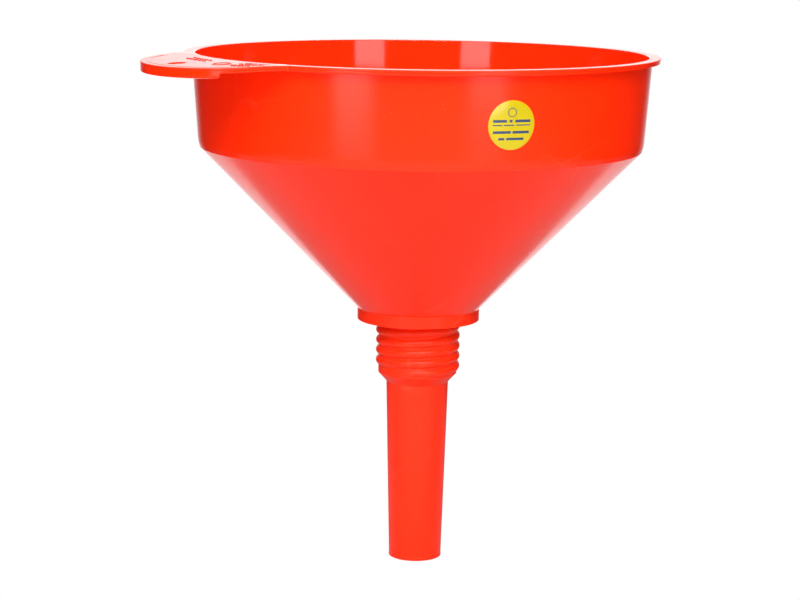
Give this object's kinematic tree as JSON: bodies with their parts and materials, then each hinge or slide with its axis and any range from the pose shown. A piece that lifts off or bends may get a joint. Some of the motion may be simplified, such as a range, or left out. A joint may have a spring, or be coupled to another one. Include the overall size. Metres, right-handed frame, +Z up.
{
  "type": "funnel",
  "caption": "Wide moulded fuel funnel with a hanging tab, a screw-in tapered spout with seal, and a lift-out gauze strainer with a wire bail.",
  "frame": {"origin": "on the funnel's axis, in the plane of the collar's underside, which rests on a container's neck", "axes": "+Z up along the axis to the mouth, -X towards the hanging tab, the spout points to -Z"},
  "size_m": [0.2702, 0.24, 0.2621],
  "materials": {
    "funnel_plastic": "satin moulded polyethylene, bright orange-red",
    "seal_rubber": "matt black nitrile",
    "brass_sheet": "rolled brass, slightly dulled",
    "brass_gauze": "fine woven brass wire",
    "label_film": "printed self-adhesive film, yellow with a plain pattern"
  },
  "bodies": {
    "bowl": {"bowl": "funnel_plastic", "label": "label_film"},
    "seal": {"seal_ring": "seal_rubber"},
    "spout": {"spout": "funnel_plastic"},
    "strainer": {"strainer_rim": "brass_sheet", "strainer_gauze": "brass_gauze", "bail_lug_left": "brass_sheet", "bail_lug_right": "brass_sheet"},
    "bail": {"strainer_bail": "brass_sheet"}
  },
  "joints": [
    {"name": "spout_drop", "type": "slide", "parent": "bowl", "child": "seal", "axis": [0, 0, -1], "range_m": [0, 0.00656]},
    {"name": "spout_turn", "type": "hinge", "parent": "seal", "child": "spout", "pos_m": [0, 0, 0], "axis": [0, 0, -1], "range_deg": [0, 450]},
    {"name": "strainer_lift", "type": "slide", "parent": "bowl", "child": "strainer", "axis": [0, 0, 1], "range_m": [0, 0.16]},
    {"name": "bail_swing", "type": "hinge", "parent": "strainer", "child": "bail", "pos_m": [0, 0, 0.0146], "axis": [0, -1, 0], "range_deg": [0, 176]}
  ],
  "couplings": [
    {"joint": "spout_turn", "follows": "spout_drop", "rad_per_m": 1196.8}
  ]
}
